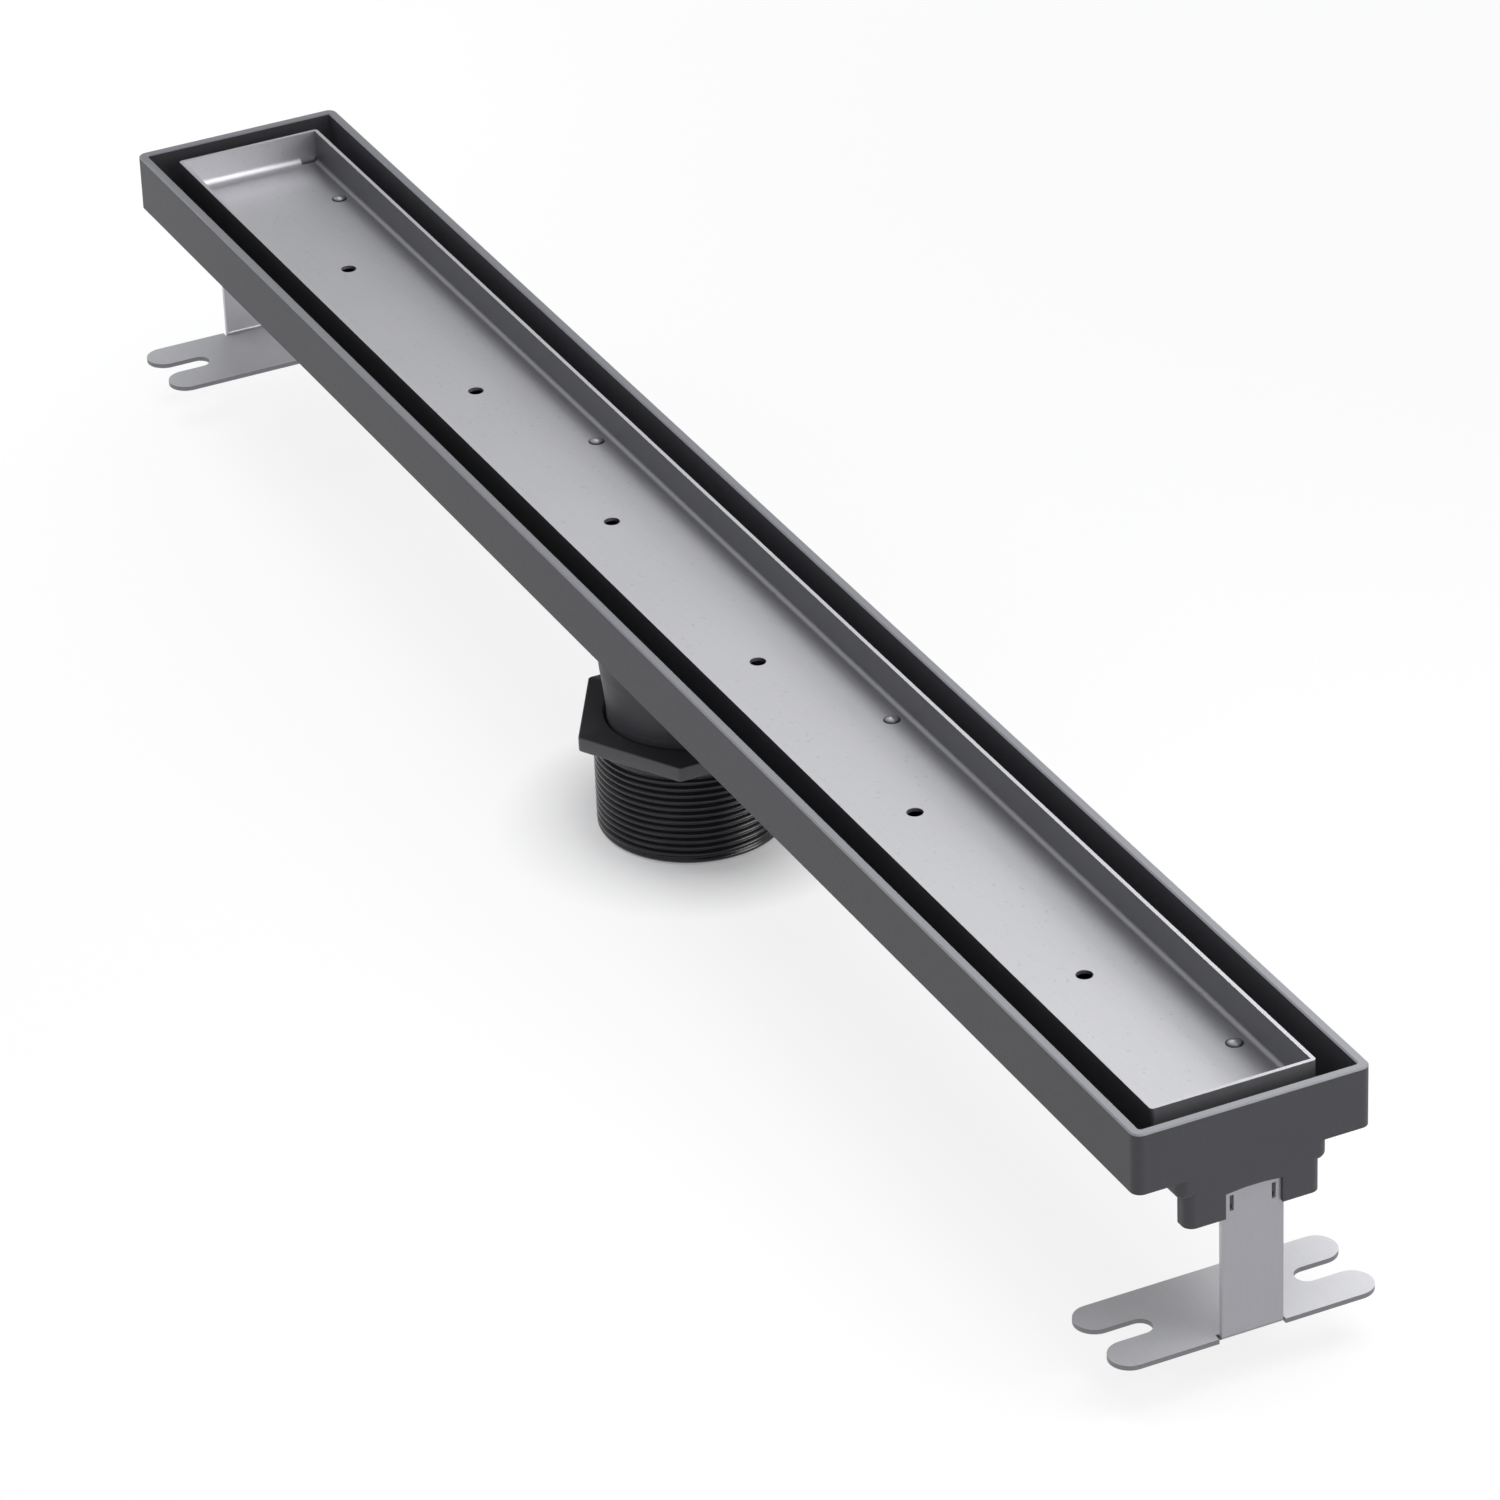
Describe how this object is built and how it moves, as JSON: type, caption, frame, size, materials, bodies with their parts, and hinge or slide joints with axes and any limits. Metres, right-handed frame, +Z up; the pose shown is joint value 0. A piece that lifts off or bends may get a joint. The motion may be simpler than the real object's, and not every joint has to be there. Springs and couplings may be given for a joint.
{
  "type": "linear shower drain",
  "caption": "Long, narrow floor drain: a plastic channel with a tile-in tray, a centre outlet with a threaded adapter, and folded steel feet.",
  "frame": {"origin": "centre of the outlet's open lower end, which is the drain's lowest point", "axes": "+X along the channel, +Y across it, +Z up through the outlet"},
  "size_m": [0.7, 0.0816, 0.091],
  "materials": {
    "channel_plastic": "fine moulded grain, dark grey ABS",
    "adapter_plastic": "black ABS, satin",
    "strainer_plastic": "black polypropylene",
    "stainless_tray": "satin stainless sheet",
    "stainless_support": "plain stainless sheet",
    "stainless_stud": "plain stainless",
    "stainless_foot": "brushed stainless sheet"
  },
  "bodies": {
    "root": {"channel_body": "channel_plastic", "threaded_adapter": "adapter_plastic", "hair_strainer": "strainer_plastic", "tile_tray": "stainless_tray", "tray_support_1": "stainless_support", "tray_support_2": "stainless_support", "tray_support_3": "stainless_support", "tray_support_4": "stainless_support", "support_studs": "stainless_stud", "foot_left": "stainless_foot", "foot_right": "stainless_foot"}
  },
  "joints": []
}
